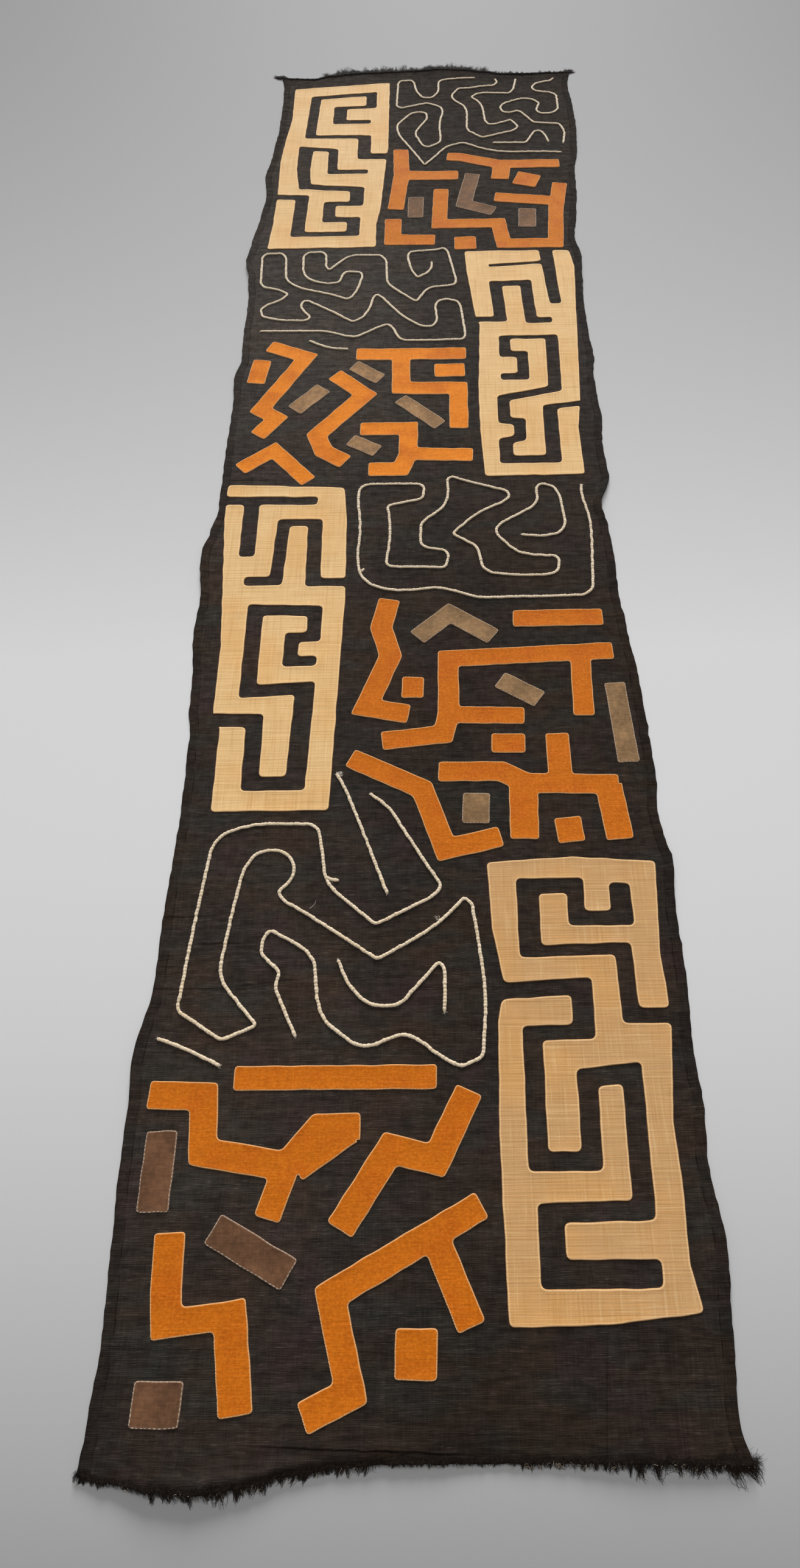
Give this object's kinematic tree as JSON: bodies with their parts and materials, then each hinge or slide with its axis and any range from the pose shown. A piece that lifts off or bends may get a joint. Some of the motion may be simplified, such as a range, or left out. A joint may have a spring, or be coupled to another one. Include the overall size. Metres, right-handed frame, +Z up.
{
  "type": "kuba raffia cloth",
  "caption": "Long narrow raffia cloth laid out flat, with cut fret panels, bent bars and couched cords sewn on, and short frayed ends.",
  "frame": {"origin": "middle of the cloth's length and width, on its flat underside", "axes": "+X across the width, +Y along the length from the near end in the picture to the far end, +Z up out of the decorated face"},
  "size_m": [0.7288, 2.963, 0.0059],
  "materials": {
    "ground_raffia": "dark brown-black plain-woven raffia, matt, with fine cross streaks",
    "natural_raffia": "undyed straw-coloured raffia, matt, slubby plain weave",
    "orange_raffia": "orange-dyed raffia, matt, uneven dye",
    "brown_raffia": "grey-brown dyed raffia, matt",
    "cream_cord": "cream raffia cord, soft matt bundle stitched down",
    "frayed_raffia": "loose dark raffia strands, matt"
  },
  "bodies": {
    "root": {"brown_1_bend": "brown_raffia", "brown_1_left_bar": "brown_raffia", "brown_1_right_bar": "brown_raffia", "brown_2_left_slant": "brown_raffia", "brown_2_long_slant": "brown_raffia", "brown_2_small_slant": "brown_raffia", "brown_2_top_slant": "brown_raffia", "brown_3_chevron": "brown_raffia", "brown_3_long_bar": "brown_raffia", "brown_3_slant": "brown_raffia", "brown_3_square": "brown_raffia", "brown_4_left_bar": "brown_raffia", "brown_4_slant": "brown_raffia", "brown_4_square": "brown_raffia", "cord_1_arch": "cream_cord", "cord_1_left": "cream_cord", "cord_1_middle": "cream_cord", "cord_1_right": "cream_cord", "cord_2_main": "cream_cord", "cord_2_short": "cream_cord", "cord_3_main": "cream_cord", "cord_4_chevron": "cream_cord", "cord_4_dash": "cream_cord", "cord_4_main": "cream_cord", "cord_4_short": "cream_cord", "fringe_far": "frayed_raffia", "fringe_near": "frayed_raffia", "ground_cloth": "ground_raffia", "natural_1": "natural_raffia", "natural_2": "natural_raffia", "natural_3": "natural_raffia", "natural_4": "natural_raffia", "orange_1_ell": "orange_raffia", "orange_1_long_path": "orange_raffia", "orange_1_small_square": "orange_raffia", "orange_1_stub_bar": "orange_raffia", "orange_1_tee": "orange_raffia", "orange_1_tilted_square": "orange_raffia", "orange_2_branch": "orange_raffia", "orange_2_chevron": "orange_raffia", "orange_2_flag": "orange_raffia", "orange_2_hook": "orange_raffia", "orange_2_lozenge": "orange_raffia", "orange_2_small_bar": "orange_raffia", "orange_2_wave": "orange_raffia", "orange_3_big_branch": "orange_raffia", "orange_3_comb": "orange_raffia", "orange_3_comb_square": "orange_raffia", "orange_3_long_bend": "orange_raffia", "orange_3_short_bar": "orange_raffia", "orange_3_small_bar": "orange_raffia", "orange_3_small_square": "orange_raffia", "orange_3_zigzag": "orange_raffia", "orange_4_big_branch": "orange_raffia", "orange_4_branch": "orange_raffia", "orange_4_long_bar": "orange_raffia", "orange_4_square": "orange_raffia", "orange_4_step": "orange_raffia", "orange_4_zigzag": "orange_raffia"}
  },
  "joints": []
}
